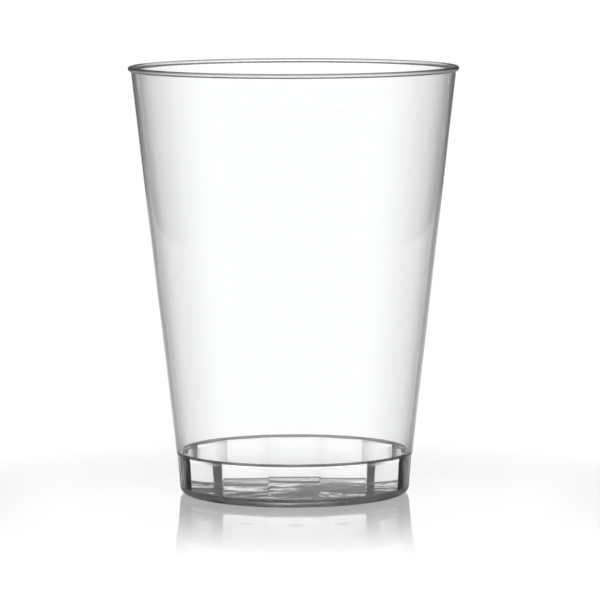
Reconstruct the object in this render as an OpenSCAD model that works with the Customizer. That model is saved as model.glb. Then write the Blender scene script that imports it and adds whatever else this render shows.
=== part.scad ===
// Clear tumbler, moulded in one piece: a tapered wall with a beaded rim, on a thick foot.
// The foot is round outside. The well inside it has flat facets, so that the base sparkles like cut glass.
// The origin is on the table at the middle of the foot, and +Z runs up the axis.

/* [Cup] */
// Diameter over the bead of the rim
rim_d = 84; // [72:0.5:100]
// Height from the table to the top of the lip
height = 109; // [70:0.5:160]
// Thickness of the wall, measured level
wall_t = 1; // [0.8:0.05:1.2]

/* [Rim] */
// Height of the bead
bead_h = 1.2; // [0.9:0.1:2]
// How far the bead stands out from the wall
bead_overhang = 0.6; // [0.2:0.05:0.9]

/* [Foot] */
// Diameter of the foot at the table, before its corner is rounded
foot_d = 58.2; // [54:0.1:60]
// Lean of the foot's outer face, in degrees
foot_draft = 4.9; // [4:0.1:8]
// Height of the foot, up to the crease where the wall begins
foot_h = 9.8; // [8:0.1:14]
// How far the line of the wall stands out from the foot at the crease
shoulder_w = 0.15; // [0.05:0.05:0.4]
// Radius of the round that brings the wall in to the crease
shoulder_r = 4; // [1:0.5:5]
// Radius of the rounded corner at the table
foot_corner_r = 2; // [0.3:0.1:2.2]

/* [Well] */
// Number of flat facets round the well
facets = 14; // [12:2:24]
// Thickness of the foot at the corners between the facets, measured at the table
skirt_t = 0.95; // [0.9:0.05:2]
// Lean of the facets, so that the cup comes off its core, in degrees
facet_draft = 0.5; // [0:0.1:2]
// Height of the ledge above the crease, where the facets end
ledge_rise = 1; // [0.5:0.1:2]
// Radius of the fillet between the ledge and the wall
ledge_fillet_r = 0.5; // [0.2:0.05:0.5]

/* [Floor] */
// Thickness of the floor
floor_t = 1.3; // [1:0.1:2]
// How far the middle of the floor stands above its edge
dome_h = 1.2; // [0.3:0.1:1.5]
// Height of the hollow under the floor
hollow_h = 0.75; // [0.3:0.05:1.5]
// Diameter of the hollow under the floor
hollow_d = 48; // [30:0.5:50]
// Diameter of the disc left by the mould's gate, under the middle of the floor
gate_d = 6; // [3:0.5:12]
// How far that disc stands down from the floor
gate_h = 0.4; // [0.2:0.05:0.7]

/* [Hidden] */
$fn = 96;

rim_r = rim_d / 2;
foot_r = foot_d / 2;
floor_z = hollow_h + floor_t;
ledge_z = foot_h + ledge_rise;

// The foot's outer face is a cone. Its lean is the rise in radius for each unit of height.
foot_lean = tan(foot_draft);
foot_slant = sqrt(1 + foot_lean * foot_lean);
crease = [foot_r + foot_lean * foot_h, foot_h];

// The wall's outer face is a cone too. Its line runs from beside the crease up to the lip.
wall_foot_r = crease.x + shoulder_w;
wall_top_r = rim_r - bead_overhang;
wall_lean = (wall_top_r - wall_foot_r) / (height - foot_h);
wall_slant = sqrt(1 + wall_lean * wall_lean);
function wall_r(z) = wall_foot_r + wall_lean * (z - foot_h);
function bore_r(z) = wall_r(z) - wall_t;

// Unit vectors that point straight out of the wall, up along it, and straight out of the foot.
wall_out = [1, -wall_lean] / wall_slant;
wall_up = [wall_lean, 1] / wall_slant;
foot_out = [1, -foot_lean] / foot_slant;

// Centres of the rounds, each placed so that its circle touches the two faces that it joins.
bead_r = bead_h / 2;
bead_at = [rim_r - bead_r, height - bead_r];
lip_r = min(wall_t, bead_h) / 2;
lip_at = [bore_r(height - lip_r) + lip_r * wall_slant, height - lip_r];
lip_touch = lip_at - lip_r * wall_out;
foot_corner_at = [foot_r + foot_lean * foot_corner_r - foot_corner_r * foot_slant, foot_corner_r];
foot_touch = foot_corner_at + foot_corner_r * foot_out;
fillet_at = [bore_r(ledge_z + ledge_fillet_r) - ledge_fillet_r * wall_slant, ledge_z + ledge_fillet_r];
fillet_touch = fillet_at + ledge_fillet_r * wall_out;

// The shoulder's round touches the wall and passes through the crease.
shoulder_in = shoulder_w / wall_slant;
shoulder_run = sqrt(2 * shoulder_r * shoulder_in - shoulder_in * shoulder_in);
shoulder_touch = crease + shoulder_in * wall_out + shoulder_run * wall_up;
shoulder_at = shoulder_touch - shoulder_r * wall_out;

// Distances from the axis to the corners between the facets and to the facets, where their planes meet the table.
corner_r = foot_r - skirt_t;
facet_r = corner_r * cos(180 / facets);
// Radius of the ball whose top makes the dome of the floor.
dome_r = (corner_r * corner_r + dome_h * dome_h) / (2 * dome_h);
// How far the cutting shapes run past the faces that they cut.
cut_margin = 0.1;
// Steps of the dome's large circle, so that its small cap is smooth.
dome_steps = 1440;

// Half section of the cup with nothing hollowed out.
module outline() {
    polygon([
        [0, 0],
        [foot_corner_at.x, 0],
        foot_touch,
        crease,
        shoulder_touch,
        [wall_r(bead_at.y), bead_at.y],
        bead_at,
        [bead_at.x, height],
        [0, height]
    ]);
    translate(foot_corner_at) circle(r = foot_corner_r);
    translate(shoulder_at) circle(r = shoulder_r);
    translate(bead_at) circle(r = bead_r);
}

// Half section of the space for the drink, down to the ledge.
module bore() {
    polygon([
        [0, ledge_z],
        [fillet_at.x, ledge_z],
        fillet_at,
        fillet_touch,
        lip_touch,
        lip_at,
        [lip_at.x, height + cut_margin],
        [0, height + cut_margin]
    ]);
    translate(fillet_at) circle(r = ledge_fillet_r);
}

// Half section of the cup, with the foot still solid.
module section() {
    difference() {
        outline();
        bore();
    }
    translate(lip_at) circle(r = lip_r);
}

// Space under a shallow dome that comes down to the height z at the corners of the well.
module under_dome(z) {
    rotate_extrude()
        intersection() {
            translate([0, z + dome_h - dome_r]) circle(r = dome_r, $fn = dome_steps);
            translate([0, -cut_margin]) square([foot_r, foot_h]);
        }
}

// Faceted space inside the foot, with one flat facet towards the front.
module well() {
    difference() {
        intersection() {
            translate([-foot_d, -foot_d, hollow_h]) cube([2 * foot_d, 2 * foot_d, ledge_z - hollow_h + cut_margin]);
            intersection_for (i = [0 : facets - 1])
                rotate([0, 0, i * 360 / facets - 90])
                    translate([facet_r, 0, 0])
                        rotate([0, facet_draft, 0])
                            translate([-2 * foot_d, -foot_d, -foot_d])
                                cube([2 * foot_d, 2 * foot_d, 2 * foot_d]);
        }
        under_dome(floor_z);
    }
}

// Shallow hollow under the floor, so that the cup stands on a ring. The disc of the gate is left standing in it.
module hollow() {
    difference() {
        intersection() {
            translate([0, 0, -cut_margin]) cylinder(d = hollow_d, h = foot_h);
            under_dome(hollow_h);
        }
        translate([0, 0, hollow_h + dome_h - gate_h]) cylinder(d = gate_d, h = foot_h);
    }
}

module tumbler() {
    color("whitesmoke", 0.35)
        difference() {
            rotate_extrude() section();
            well();
            hollow();
        }
}

tumbler();
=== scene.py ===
"""Looks of a clear moulded tumbler, set on a plain pale table in soft studio light."""

import math

import bmesh
import bpy
from mathutils import Matrix, Vector


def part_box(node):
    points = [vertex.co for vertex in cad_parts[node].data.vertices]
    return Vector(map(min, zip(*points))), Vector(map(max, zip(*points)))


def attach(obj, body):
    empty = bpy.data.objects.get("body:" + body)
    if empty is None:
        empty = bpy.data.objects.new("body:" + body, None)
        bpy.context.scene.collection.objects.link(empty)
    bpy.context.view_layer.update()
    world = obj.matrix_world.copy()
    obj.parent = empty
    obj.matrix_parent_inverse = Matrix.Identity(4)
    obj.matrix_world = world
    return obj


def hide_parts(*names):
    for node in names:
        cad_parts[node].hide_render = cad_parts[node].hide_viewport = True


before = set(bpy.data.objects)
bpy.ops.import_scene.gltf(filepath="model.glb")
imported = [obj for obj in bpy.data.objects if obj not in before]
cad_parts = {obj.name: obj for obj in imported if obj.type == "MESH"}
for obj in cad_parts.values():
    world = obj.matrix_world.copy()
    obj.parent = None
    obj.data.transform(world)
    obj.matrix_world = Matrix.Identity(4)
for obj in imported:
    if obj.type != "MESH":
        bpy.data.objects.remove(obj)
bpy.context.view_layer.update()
CUP_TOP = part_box("tumbler")[1]

bl_info = {
    "name": "Clear tumbler",
    "version": (1, 0, 0),
    "blender": (4, 5, 0),
    "location": "View3D > Sidebar > Tumbler",
    "description": "Models a clear moulded tumbler with a faceted foot, and sets it on a plain table",
    "category": "Object",
}

MM = 0.001

# Steps of the curved faces.
DOME_STEPS = 10
TURNED_ROUND_STEPS = 8
FACET_ROUND_STEPS = 3
EDGE_ROUND_STEPS = 3
FLOOR_FILLET_STEPS = 4
TABLE_STEPS = 128

# Distances below which two places count as one, when edges are picked and when points are merged.
PICK_NEAR = 1e-6
MERGE_NEAR = 1e-7

# Shares of a full round that are used, so that two rounds side by side keep a hair's breadth between them.
BEAD_SHARE = 0.495
LIP_SHARE = 0.49
SHOULDER_SHARE = 0.98

# Room that is left round the mouth of the well, in widths of its rounded edge:
# out to the corners of the flat strip that the edge is cut from, and out to the turned ring.
STRIP_ROOM = 1.15
RING_ROOM = 1.25

# Where the finish of the floor fades out, in height and in distance from the axis.
FLOOR_FADE_HEIGHT = (4.2 * MM, 4.8 * MM)
FLOOR_FADE_REACH = (26.0 * MM, 27.6 * MM)
# Heights between which the finish of the bead sets in.
RIM_FADE = (CUP_TOP.z - 1.6 * MM, CUP_TOP.z - 1.2 * MM)
# Values of the noise between which the cloudy patches and the blotches set in.
CLOUD_FADE = (0.5, 0.75)
BLOTCH_FADE = (0.38, 0.6)
# Scale of the moulded ripple up the wall, against its scale round the wall.
RIPPLE_STRETCH = 0.35

# Shares of the light panel's height between which its strip sets in, and where its top starts to fade.
STRIP_RISE = (0.45, 0.7)
PANEL_FADE = 0.93
# Share of the strip's width that is even.
STRIP_FLAT = 0.55

# Bands of the studio, in degrees. The first is turned from the back, and the rest are above or below level.
FRONT_BAND = (65.0, 115.0)
CEILING_BAND = (25.0, 50.0)
HORIZON_BAND = (-9.0, -3.0)
WHITE_FOOT_BAND = (-13.0, -10.2)
WHITE_TOP_BAND = (0.0, 2.0)
GROUND_BAND = (-35.0, -13.0)
DEEP_BAND = (-62.0, -42.0)
# Share of its light that the ground keeps below its band.
GROUND_DIM = 0.5

# The camera's sensor in millimetres, and the nearest and farthest that the camera sees, in metres.
SENSOR_WIDTH = 36.0
CLIP_NEAR = 0.05
CLIP_FAR = 50.0


def length(name, text, default_mm):
    """A length that the user can change, given in millimetres."""
    return bpy.props.FloatProperty(
        name=name, description=text, default=default_mm * MM, unit="LENGTH", precision=5)


def angle(name, text, default_degrees):
    """An angle that the user can change, given in degrees."""
    return bpy.props.FloatProperty(
        name=name, description=text, default=math.radians(default_degrees), subtype="ANGLE", precision=4)


def level(name, text, default, top=4.0):
    """A plain number from nothing to a top value."""
    return bpy.props.FloatProperty(
        name=name, description=text, default=default, min=0.0, max=top, precision=4)


def count(name, text, default, least):
    """A whole number that the user can change."""
    return bpy.props.IntProperty(name=name, description=text, default=default, min=least)


def colour(name, text, default):
    """A colour that the user can change."""
    return bpy.props.FloatVectorProperty(
        name=name, description=text, default=default, subtype="COLOR", size=3, min=0.0, max=1.0)


class TumblerSizes(bpy.types.PropertyGroup):
    """Sizes of the cup."""

    rim_radius: length("Rim radius", "Radius over the bead", CUP_TOP.x / MM)
    height: length("Height", "From the table to the top of the lip", CUP_TOP.z / MM)
    wall: length("Wall", "Thickness of the wall, measured level", 1.0)
    bead_height: length("Bead height", "Height of the bead round the rim", 1.2)
    bead_overhang: length("Bead overhang", "How far the bead stands out from the wall", 0.6)
    foot_radius: length("Foot radius", "Radius of the foot at the table, before its corner is rounded", 29.1)
    foot_draft: angle("Foot draft", "Lean of the foot's outer face", 4.9)
    foot_height: length("Foot height", "Height of the foot up to the crease where the wall begins", 9.8)
    shoulder_width: length("Shoulder width", "How far the line of the wall stands out at the crease", 0.15)
    shoulder_round: length("Shoulder round", "Radius of the round that brings the wall in to the crease", 4.0)
    foot_corner: length("Foot corner", "Radius of the rounded corner at the table", 2.0)
    skirt: length("Skirt", "Thickness of the foot at the corners between the facets, at the table", 0.95)
    facets: count("Facets", "Flat facets round the well", 14, 6)
    facet_steps: count("Steps to a facet", "Steps of the turned surfaces for each facet", 24, 4)
    facet_draft: angle("Facet draft", "Lean of the facets", 0.5)
    facet_round: length("Facet round", "Width of the rounded corners between the facets, to either side", 0.3)
    ledge_rise: length("Ledge rise", "Height of the ledge above the crease", 1.0)
    ledge_fillet: length("Ledge fillet", "Radius of the fillet between the ledge and the wall", 0.5)
    edge_round: length("Edge round", "Width of the rounded edge between the ledge and the facets", 0.4)
    floor: length("Floor", "Thickness of the floor", 1.3)
    dome: length("Dome", "How far the middle of the floor stands above its edge", 1.2)
    floor_fillet: length("Floor fillet", "Width of the fillet between the floor and the facets", 0.4)
    hollow_height: length("Hollow height", "Height of the hollow under the floor", 0.75)
    hollow_radius: length("Hollow radius", "Radius of the hollow under the floor", 24.0)
    hollow_round: length("Hollow round", "Radius of the rounded edges of the hollow", 0.2)
    gate_radius: length("Gate radius", "Radius of the disc left by the mould's gate, under the floor", 3.0)
    gate_height: length("Gate height", "How far that disc stands down from the floor", 0.4)
    gate_round: length("Gate round", "Radius of the rounded edges of that disc", 0.1)


class TumblerFinish(bpy.types.PropertyGroup):
    """Finish of the clear plastic."""

    tint: colour("Tint", "Colour that the plastic lets through", (0.985, 0.99, 0.99))
    ior: level("Index of refraction", "How strongly the plastic bends light", 1.5)
    gloss: level("Roughness", "Roughness of the moulded surface", 0.012, 1.0)
    haze: level("Haze", "How much the roughness rises in the cloudy patches", 0.03, 1.0)
    ripple: length("Ripple", "Height of the faint moulded ripple", 0.04)
    floor_waves: length("Floor waves", "Height of the waves in the floor", 1.1)
    floor_sheen: level("Floor roughness", "How much rougher the floor is than the rest", 0.12, 1.0)
    floor_matt: level("Floor blotches", "How much the roughness rises in the blotches of the floor", 0.3, 1.0)
    rim_matt: level("Rim roughness", "How much rougher the bead is than the wall", 0.3, 1.0)


class TumblerStage(bpy.types.PropertyGroup):
    """Camera, table and light."""

    camera_distance: length("Camera distance", "From the cup's axis to the camera, measured level", 1150.0)
    camera_height: length("Camera height", "Height of the camera above the table", 165.4)
    camera_side: length("Camera side", "How far the camera stands to the right of the cup's axis", 1.49)
    camera_pitch: angle("Camera pitch", "How far the camera looks down", 5.762)
    camera_roll: angle("Camera roll", "Turn of the camera about its own line of sight", -0.15)
    lens: bpy.props.FloatProperty(
        name="Lens", description="Focal length in millimetres", default=272.3, unit="CAMERA")
    table_radius: length("Table radius", "Radius of the table top, which fades out to its edge", 120.0)
    table_middle: length("Table middle", "Radius of the middle of the table, which doesn't fade", 24.0)
    table_cover: level("Table cover", "How far the middle of the table hides what is below it", 0.7, 1.0)
    table_colour: colour("Table colour", "Colour of the table", (0.7, 0.7, 0.7))
    table_gloss: level("Table roughness", "Roughness of the table where it is smoothest", 0.05, 1.0)
    table_grain: level("Table grain", "How much the roughness of the table varies", 0.02, 1.0)
    table_ior: level("Table index", "Index of refraction of the table's glossy skin", 1.45)
    panel_distance: length("Panel distance", "From the cup's axis to the light panel behind it", 700.0)
    panel_top: length("Panel top", "Height of the light panel above the table", 153.0)
    panel_flat: angle("Panel middle", "How far to either side the light panel is even", 3.5)
    panel_side: angle("Panel side", "How far to either side the light panel reaches", 21.0)
    strip_side: angle("Strip side", "How far to either side the brighter strip at its top reaches", 14.0)
    back_level: level("Back light", "Brightness of the light panel and of the ground behind it", 1.02)
    strip_level: level("Strip light", "Brightness of the strip at the top of the light panel", 2.0)
    front_level: level("Front light", "Brightness of the room in front of the cup", 1.0)
    top_level: level("Top light", "Brightness of the ceiling", 0.15)
    low_level: level("Low light", "Brightness of the ground behind the cup, seen from above", 0.62)
    deep_level: level("Straight down", "Light from straight below the table", 0.85)
    side_level: level("Side light", "Brightness of the ground at the sides", 0.42)
    gap_level: level("Dark sides", "Brightness of the dark sides above the ground", 0.1)


class Value:
    """A shader socket, with the arithmetic that the materials use."""

    def __init__(self, graph, socket):
        self.graph = graph
        self.socket = socket

    def _math(self, operation, *inputs):
        return self.graph.node("ShaderNodeMath", {"operation": operation}, dict(enumerate(inputs)))[0]

    def __add__(self, other):
        return self._math("ADD", self, other)

    def __radd__(self, other):
        return self._math("ADD", other, self)

    def __sub__(self, other):
        return self._math("SUBTRACT", self, other)

    def __rsub__(self, other):
        return self._math("SUBTRACT", other, self)

    def __mul__(self, other):
        return self._math("MULTIPLY", self, other)

    def __rmul__(self, other):
        return self._math("MULTIPLY", other, self)

    def __abs__(self):
        return self._math("ABSOLUTE", self)

    def angle_from(self, other):
        """Angle whose sine goes with this value and whose cosine goes with the other."""
        return self._math("ARCTAN2", self, other)

    def smooth(self, start, end):
        """Rises smoothly from 0 at start to 1 at end."""
        return self.graph.node(
            "ShaderNodeMapRange", {"interpolation_type": "SMOOTHSTEP"},
            {"Value": self, "From Min": start, "From Max": end})["Result"]


class Outputs:
    """A node's outputs, by place or by name, as values."""

    def __init__(self, graph, node):
        self.graph = graph
        self.made = node

    def __getitem__(self, key):
        return Value(self.graph, self.made.outputs[key])


class Graph:
    """A node tree that is filled from nothing."""

    def __init__(self, tree):
        self.tree = tree
        tree.nodes.clear()

    def node(self, kind, settings=None, inputs=None):
        """Adds a node of a kind, with its settings and the values or links of its sockets."""
        made = self.tree.nodes.new(kind)
        for name, setting in (settings or {}).items():
            setattr(made, name, setting)
        for key, given in (inputs or {}).items():
            if isinstance(given, Value):
                self.tree.links.new(given.socket, made.inputs[key])
            else:
                made.inputs[key].default_value = given
        return Outputs(self, made)

    def noise(self, place, scale, detail, roughness):
        """Smooth noise from 0 to 1."""
        return self.node("ShaderNodeTexNoise", {}, {
            "Vector": place, "Scale": scale, "Detail": detail, "Roughness": roughness})["Fac"]

    def distance(self, place):
        """Distance of a place from the origin."""
        return self.node("ShaderNodeVectorMath", {"operation": "LENGTH"}, {0: place})["Value"]


def new_material(name):
    """A material with an empty node tree."""
    material = bpy.data.materials.new(name)
    material.use_nodes = True
    return material, Graph(material.node_tree)


def clear_plastic(finish):
    """Clear hard plastic: glossy, with a faint ripple and cloudy patches, a rough floor and a satin bead."""
    material, graph = new_material("clear_plastic")
    place = graph.node("ShaderNodeTexCoord")["Object"]
    parts = graph.node("ShaderNodeSeparateXYZ", {}, {"Vector": place})
    level_place = graph.node("ShaderNodeCombineXYZ", {}, {"X": parts["X"], "Y": parts["Y"]})["Vector"]
    reach = graph.distance(level_place)
    on_floor = (1.0 - parts["Z"].smooth(*FLOOR_FADE_HEIGHT)) * (1.0 - reach.smooth(*FLOOR_FADE_REACH))
    on_rim = parts["Z"].smooth(*RIM_FADE)
    stretch = (1.0, 1.0, RIPPLE_STRETCH)
    stretched = graph.node("ShaderNodeMapping", {}, {"Vector": place, "Scale": stretch})["Vector"]
    flow = graph.noise(stretched, scale=90.0, detail=2.0, roughness=0.45)
    cloud = graph.noise(stretched, scale=220.0, detail=4.0, roughness=0.6)
    waves = graph.noise(place, scale=110.0, detail=1.0, roughness=0.4)
    blotch = graph.noise(place, scale=190.0, detail=3.0, roughness=0.55)
    haze = finish.haze * cloud.smooth(*CLOUD_FADE)
    floor_matt = finish.floor_sheen + finish.floor_matt * blotch.smooth(*BLOTCH_FADE)
    height = finish.ripple * flow + finish.floor_waves * (waves * on_floor)
    bump = graph.node("ShaderNodeBump", {}, {"Strength": 1.0, "Distance": 1.0, "Height": height})["Normal"]
    shader = graph.node("ShaderNodeBsdfPrincipled", {}, {
        "Base Color": (*finish.tint, 1.0),
        "Roughness": finish.gloss + haze + floor_matt * on_floor + finish.rim_matt * on_rim,
        "Transmission Weight": 1.0,
        "IOR": finish.ior,
        "Normal": bump,
    })["BSDF"]
    graph.node("ShaderNodeOutputMaterial", {}, {"Surface": shader})
    return material


def table_top(stage):
    """Pale glossy table that fades out towards its edge."""
    material, graph = new_material("table_top")
    place = graph.node("ShaderNodeTexCoord")["Object"]
    fade = graph.distance(place).smooth(stage.table_middle, stage.table_radius)
    grain = graph.noise(place, scale=40.0, detail=3.0, roughness=0.5)
    shader = graph.node("ShaderNodeBsdfPrincipled", {}, {
        "Base Color": (*stage.table_colour, 1.0),
        "Roughness": stage.table_gloss + stage.table_grain * grain,
        "IOR": stage.table_ior,
        "Alpha": stage.table_cover - stage.table_cover * fade,
    })["BSDF"]
    graph.node("ShaderNodeOutputMaterial", {}, {"Surface": shader})
    return material


def back_panel(stage):
    """Light panel: wide low down, with a narrower and brighter strip above, fading to its sides and top."""
    material, graph = new_material("back_panel")
    place = graph.node("ShaderNodeTexCoord")["Object"]
    parts = graph.node("ShaderNodeSeparateXYZ", {}, {"Vector": place})
    turn = abs(parts["X"]).angle_from(parts["Y"])
    upper = parts["Z"].smooth(*(share * stage.panel_top for share in STRIP_RISE))
    below_top = 1.0 - parts["Z"].smooth(PANEL_FADE * stage.panel_top, stage.panel_top)
    gap = stage.gap_level
    wide = (stage.back_level - gap) * (1.0 - turn.smooth(stage.panel_flat, stage.panel_side))
    strip = (stage.strip_level - gap) * (1.0 - turn.smooth(STRIP_FLAT * stage.strip_side, stage.strip_side))
    glow = gap + (wide + (strip - wide) * upper) * below_top
    shader = graph.node("ShaderNodeBsdfPrincipled", {}, {
        "Base Color": (0.0, 0.0, 0.0, 1.0),
        "Roughness": 1.0,
        "Specular IOR Level": 0.0,
        "Emission Color": graph.node("ShaderNodeCombineXYZ", {}, {"X": glow, "Y": glow, "Z": glow})["Vector"],
        "Emission Strength": 1.0,
    })["BSDF"]
    graph.node("ShaderNodeOutputMaterial", {}, {"Surface": shader})
    return material


def studio_world(stage):
    """Soft light all round: a white ground far behind, a pale room in front, dark sides and a dim ceiling."""
    world = bpy.data.worlds.new("studio")
    world.use_nodes = True
    graph = Graph(world.node_tree)
    way = graph.node("ShaderNodeTexCoord")["Generated"]
    parts = graph.node("ShaderNodeSeparateXYZ", {}, {"Vector": way})
    turn = abs(parts["X"]).angle_from(parts["Y"])
    rise = parts["Z"]

    def above(band):
        """0 below the band and 1 above it."""
        return rise.smooth(*(math.sin(math.radians(degrees)) for degrees in band))

    behind = 1.0 - turn.smooth(stage.panel_flat, stage.panel_side)
    front = turn.smooth(*(math.radians(degrees) for degrees in FRONT_BAND))
    room = stage.gap_level + (stage.front_level - stage.gap_level) * front
    room = room + (stage.top_level - room) * above(CEILING_BAND)
    ground = stage.side_level + (stage.low_level - stage.side_level) * behind
    ground = ground * (GROUND_DIM + (1.0 - GROUND_DIM) * above(GROUND_BAND))
    ground = ground + (stage.deep_level - ground) * (1.0 - above(DEEP_BAND))
    ground = ground + (stage.front_level - ground) * front
    bright = ground + (room - ground) * above(HORIZON_BAND)
    white = behind * above(WHITE_FOOT_BAND) * (1.0 - above(WHITE_TOP_BAND))
    bright = bright + (stage.back_level - bright) * white
    light = graph.node(
        "ShaderNodeBackground", {}, {"Color": (1.0, 1.0, 1.0, 1.0), "Strength": bright})["Background"]
    graph.node("ShaderNodeOutputWorld", {}, {"Surface": light})
    return world


def new_piece(name, mesh_data, material):
    """Makes a mesh object of a bmesh, at the origin."""
    mesh = bpy.data.meshes.new(name)
    mesh_data.to_mesh(mesh)
    mesh_data.free()
    mesh.materials.append(material)
    piece = bpy.data.objects.new(name, mesh)
    bpy.context.scene.collection.objects.link(piece)
    return piece


def level_edges(edges, height):
    """Those of the edges that lie at a height."""
    return [edge for edge in edges
            if all(abs(vertex.co.z - height) < PICK_NEAR for vertex in edge.verts)]


def ring_edges(edges, radius, height):
    """Those of the edges that lie on the turned ring of that radius and height."""
    return [edge for edge in level_edges(edges, height)
            if all(abs(vertex.co.xy.length - radius) < PICK_NEAR for vertex in edge.verts)]


def round_edges(mesh_data, edges, width, steps):
    """Rounds edges with an arc that takes that width of the faces on either side."""
    bmesh.ops.bevel(
        mesh_data, geom=edges, offset=width, offset_type="OFFSET", affect="EDGES", segments=steps,
        profile=0.5, material=-1, clamp_overlap=False)


def touch_length(before, corner, after, radius):
    """How far from a corner of a section its round of that radius touches the two sides."""
    turn = (corner - before).angle(after - corner)
    return radius * math.tan(turn / 2)


def grown_edges(mesh_data, edges):
    """Extrudes a loop of edges, and gives the new loop's corners and edges."""
    made = bmesh.ops.extrude_edge_only(mesh_data, edges=edges)["geom"]
    corners = [item for item in made if isinstance(item, bmesh.types.BMVert)]
    new_edges = [item for item in made
                 if isinstance(item, bmesh.types.BMEdge) and all(end in corners for end in item.verts)]
    return corners, new_edges


def facet_corner(sizes, height):
    """Distance from the axis to the corners between the facets at a height."""
    spread = math.tan(sizes.facet_draft) / math.cos(math.pi / sizes.facets)
    return sizes.foot_radius - sizes.skirt + height * spread


def dome_height(sizes, radius):
    """Height of the floor's dome above the corners of the well, at a distance from the axis."""
    corner = facet_corner(sizes, 0.0)
    ball = (corner ** 2 + sizes.dome ** 2) / (2 * sizes.dome)
    return math.sqrt(ball ** 2 - radius ** 2) - ball + sizes.dome


def hollow_points(sizes):
    """Points of the section along the domed roof of the hollow, from the gate's disc outwards."""
    width = sizes.hollow_radius - sizes.gate_radius
    steps = [sizes.gate_radius + width * step / DOME_STEPS for step in range(DOME_STEPS + 1)]
    return [(radius, sizes.hollow_height + dome_height(sizes, radius)) for radius in steps]


def shoulder_corner(sizes, crease, wall_up):
    """Corner of the section from which the shoulder's round runs up to the wall and down to the crease."""
    inset = sizes.shoulder_width * wall_up.y
    turn = math.acos(1 - inset / sizes.shoulder_round)
    beside_crease = crease + inset * Vector((wall_up.y, -wall_up.x))
    return beside_crease + wall_up * (inset / math.tan(turn))


def cup_section(sizes):
    """Half section of the cup, from the axis under the floor to the ledge: each point, and its round."""
    crease = Vector((sizes.foot_radius + math.tan(sizes.foot_draft) * sizes.foot_height, sizes.foot_height))
    wall_top = Vector((sizes.rim_radius - sizes.bead_overhang, sizes.height))
    wall_foot = crease + Vector((sizes.shoulder_width, 0.0))
    wall_up = (wall_top - wall_foot).normalized()
    wall_lean = wall_up.x / wall_up.y
    bead_base = sizes.height - sizes.bead_height
    ledge = sizes.foot_height + sizes.ledge_rise
    gate_face = sizes.hollow_height + sizes.dome - sizes.gate_height
    hollow = hollow_points(sizes)

    def wall_radius(height):
        return wall_foot.x + wall_lean * (height - wall_foot.y)

    return [
        ((0.0, gate_face), 0.0),
        ((sizes.gate_radius, gate_face), sizes.gate_round),
        (hollow[0], sizes.gate_round),
        *((point, 0.0) for point in hollow[1:-1]),
        (hollow[-1], sizes.hollow_round),
        ((sizes.hollow_radius, 0.0), sizes.hollow_round),
        ((sizes.foot_radius, 0.0), sizes.foot_corner),
        (crease, 0.0),
        (shoulder_corner(sizes, crease, wall_up), SHOULDER_SHARE * sizes.shoulder_round),
        ((wall_radius(bead_base), bead_base), 0.0),
        ((sizes.rim_radius, bead_base), BEAD_SHARE * sizes.bead_height),
        ((sizes.rim_radius, sizes.height), BEAD_SHARE * sizes.bead_height),
        ((wall_radius(sizes.height) - sizes.wall, sizes.height), LIP_SHARE * sizes.wall),
        ((wall_radius(ledge) - sizes.wall, ledge), sizes.ledge_fillet),
        ((facet_corner(sizes, ledge) + RING_ROOM * sizes.edge_round, ledge), 0.0),
    ]


def turned_cup(mesh_data, sizes):
    """Turns the cup's section about its axis and rounds its edges, which makes all but the well."""
    section = cup_section(sizes)
    points = [Vector(point) for point, _ in section]
    chain = [mesh_data.verts.new((point.x, 0.0, point.y)) for point in points]
    links = [mesh_data.edges.new(pair) for pair in zip(chain, chain[1:])]
    bmesh.ops.spin(
        mesh_data, geom=chain + links, cent=(0, 0, 0), axis=(0, 0, 1), dvec=(0, 0, 0), angle=math.tau,
        steps=sizes.facets * sizes.facet_steps, use_merge=True, use_duplicate=False)
    bmesh.ops.remove_doubles(mesh_data, verts=mesh_data.verts, dist=MERGE_NEAR)
    for place, (_, radius) in enumerate(section):
        if radius:
            corner = points[place]
            width = touch_length(points[place - 1], corner, points[place + 1], radius)
            round_edges(mesh_data, ring_edges(mesh_data.edges, corner.x, corner.y), width, TURNED_ROUND_STEPS)


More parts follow.
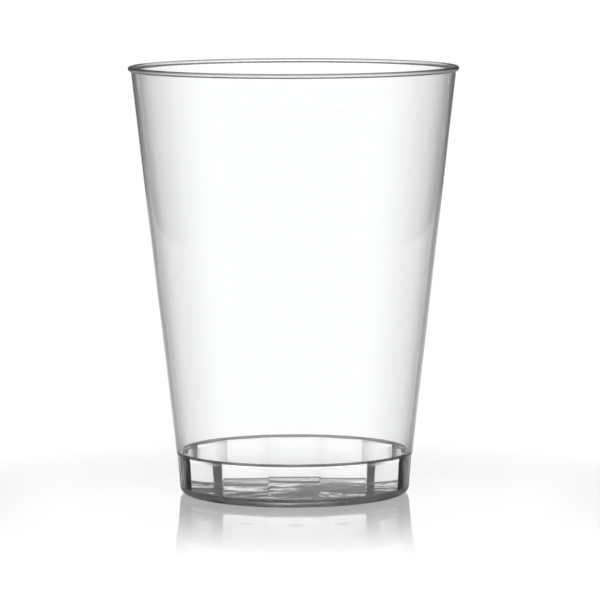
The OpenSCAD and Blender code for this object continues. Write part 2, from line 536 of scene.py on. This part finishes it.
def faceted_well(mesh_data, sizes):
    """Adds the well with its facets and its floor, and joins it to the ledge."""
    ledge = sizes.foot_height + sizes.ledge_rise
    floor = sizes.hollow_height + sizes.floor
    mouth = facet_corner(sizes, ledge)
    turned = set(mesh_data.verts)

    # A flat strip of the ledge runs in to the mouth of the well, and the facets run down from there.
    reach = mouth + STRIP_ROOM * sizes.edge_round
    bmesh.ops.create_circle(
        mesh_data, segments=sizes.facets, radius=reach,
        matrix=Matrix.Translation((0, 0, ledge)) @ Matrix.Rotation(math.pi / sizes.facets, 4, "Z"))
    edges = [edge for edge in mesh_data.edges if edge.verts[0] not in turned]
    for radius, height in ((mouth, ledge), (facet_corner(sizes, floor), floor)):
        corners, edges = grown_edges(mesh_data, edges)
        bmesh.ops.scale(mesh_data, vec=(radius / reach, radius / reach, 1.0), verts=corners)
        bmesh.ops.translate(mesh_data, vec=(0, 0, height - ledge), verts=corners)
        reach = radius

    def runs_inward(edge):
        ends = sorted(vertex.co.xy.length for vertex in edge.verts)
        return ends[1] - ends[0] > PICK_NEAR and not any(vertex in turned for vertex in edge.verts)

    corner_edges = [edge for edge in mesh_data.edges if runs_inward(edge)]
    round_edges(mesh_data, corner_edges, sizes.facet_round, FACET_ROUND_STEPS)
    base = [edge for edge in level_edges(mesh_data.edges, floor) if edge.is_boundary]
    joint = [edge for edge in level_edges(mesh_data.edges, ledge) if edge.is_boundary]

    # The floor closes in rings from the facets to the axis, each lifted to the dome.
    edges = base
    for step in range(DOME_STEPS - 1, -1, -1):
        corners, edges = grown_edges(mesh_data, edges)
        shrink = step / (step + 1)
        bmesh.ops.scale(mesh_data, vec=(shrink, shrink, 1.0), verts=corners)
        for vertex in corners:
            vertex.co.z = floor + dome_height(sizes, vertex.co.xy.length)
    bmesh.ops.remove_doubles(mesh_data, verts=corners, dist=MERGE_NEAR)

    # The strip is joined to the turned ring outside it. The mouth's edge lies between level and steep faces.
    bmesh.ops.triangle_fill(mesh_data, edges=joint, use_beauty=True, normal=(0, 0, 1))
    mouth_edges = [edge for edge in level_edges(mesh_data.edges, ledge)
                   if len({abs(round(face.normal.z)) for face in edge.link_faces}) == 2]
    round_edges(mesh_data, base, sizes.floor_fillet, FLOOR_FILLET_STEPS)
    round_edges(mesh_data, mouth_edges, sizes.edge_round, EDGE_ROUND_STEPS)


def lay_table(stage):
    """Lays the round table under the cup."""
    mesh_data = bmesh.new()
    bmesh.ops.create_circle(mesh_data, cap_ends=True, segments=TABLE_STEPS, radius=stage.table_radius)
    new_piece("table", mesh_data, table_top(stage))


def hang_panel(stage):
    """Hangs the light panel upright behind the cup, where the camera itself doesn't see it."""
    half = stage.panel_distance * math.tan(stage.panel_side)
    corners = ((-half, 0.0), (half, 0.0), (half, stage.panel_top), (-half, stage.panel_top))
    mesh_data = bmesh.new()
    mesh_data.faces.new([
        mesh_data.verts.new((side, stage.panel_distance, height)) for side, height in corners])
    panel = new_piece("back_panel", mesh_data, back_panel(stage))
    panel.visible_camera = False


def set_camera(scene, stage):
    """Sets the camera in front of the cup, a little above it and looking down."""
    camera = bpy.data.objects.new("camera", bpy.data.cameras.new("camera"))
    camera.data.lens = stage.lens
    camera.data.sensor_width = SENSOR_WIDTH
    camera.data.clip_start = CLIP_NEAR
    camera.data.clip_end = CLIP_FAR
    camera.matrix_world = (
        Matrix.Translation((stage.camera_side, -stage.camera_distance, stage.camera_height))
        @ Matrix.Rotation(math.pi / 2 - stage.camera_pitch, 4, "X")
        @ Matrix.Rotation(stage.camera_roll, 4, "Z"))
    scene.collection.objects.link(camera)
    scene.camera = camera


class TUMBLER_OT_cup(bpy.types.Operator):
    """Model the cup as one closed shell of clear plastic"""

    bl_idname = "tumbler.cup"
    bl_label = "Model the cup"

    def execute(self, context):
        sizes = context.scene.tumbler_sizes
        mesh_data = bmesh.new()
        turned_cup(mesh_data, sizes)
        faceted_well(mesh_data, sizes)
        bmesh.ops.remove_doubles(mesh_data, verts=mesh_data.verts, dist=MERGE_NEAR)
        bmesh.ops.recalc_face_normals(mesh_data, faces=mesh_data.faces)
        open_edges = [edge for edge in mesh_data.edges if not edge.is_manifold]
        if open_edges:
            raise RuntimeError(f"the cup isn't closed: {len(open_edges)} edges")
        for face in mesh_data.faces:
            face.smooth = True
        cup = new_piece("tumbler_shell", mesh_data, clear_plastic(context.scene.tumbler_finish))
        weighted = cup.modifiers.new("flat_faces_stay_flat", "WEIGHTED_NORMAL")
        weighted.mode = "FACE_AREA"
        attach(cup, "root")
        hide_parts("tumbler")
        return {"FINISHED"}


class TUMBLER_OT_stage(bpy.types.Operator):
    """Lay the table, light the studio and set up the camera"""

    bl_idname = "tumbler.stage"
    bl_label = "Set the stage"

    def execute(self, context):
        scene = context.scene
        stage = scene.tumbler_stage
        lay_table(stage)
        hang_panel(stage)
        scene.world = studio_world(stage)
        scene.view_settings.view_transform = "Standard"
        set_camera(scene, stage)
        return {"FINISHED"}


class TUMBLER_PT_panel(bpy.types.Panel):
    """Sizes, finish and steps of the tumbler"""

    bl_label = "Tumbler"
    bl_idname = "TUMBLER_PT_panel"
    bl_space_type = "VIEW_3D"
    bl_region_type = "UI"
    bl_category = "Tumbler"

    def draw(self, context):
        for group_name, group in GROUPS.items():
            box = self.layout.box()
            for name in group.__annotations__:
                box.prop(getattr(context.scene, group_name), name)
        for operator in OPERATORS:
            self.layout.operator(operator.bl_idname)


GROUPS = {"tumbler_sizes": TumblerSizes, "tumbler_finish": TumblerFinish, "tumbler_stage": TumblerStage}
OPERATORS = (TUMBLER_OT_cup, TUMBLER_OT_stage)


def register():
    """Adds the classes, and hangs the settings on the scene."""
    for made in (*GROUPS.values(), *OPERATORS, TUMBLER_PT_panel):
        bpy.utils.register_class(made)
    for name, group in GROUPS.items():
        setattr(bpy.types.Scene, name, bpy.props.PointerProperty(type=group))


def unregister():
    """Takes the settings off the scene, and removes the classes."""
    for name in GROUPS:
        delattr(bpy.types.Scene, name)
    for made in (TUMBLER_PT_panel, *reversed(OPERATORS), *reversed(list(GROUPS.values()))):
        bpy.utils.unregister_class(made)


def main():
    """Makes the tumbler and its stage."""
    register()
    bpy.ops.tumbler.cup()
    bpy.ops.tumbler.stage()


if __name__ == "__main__":
    main()
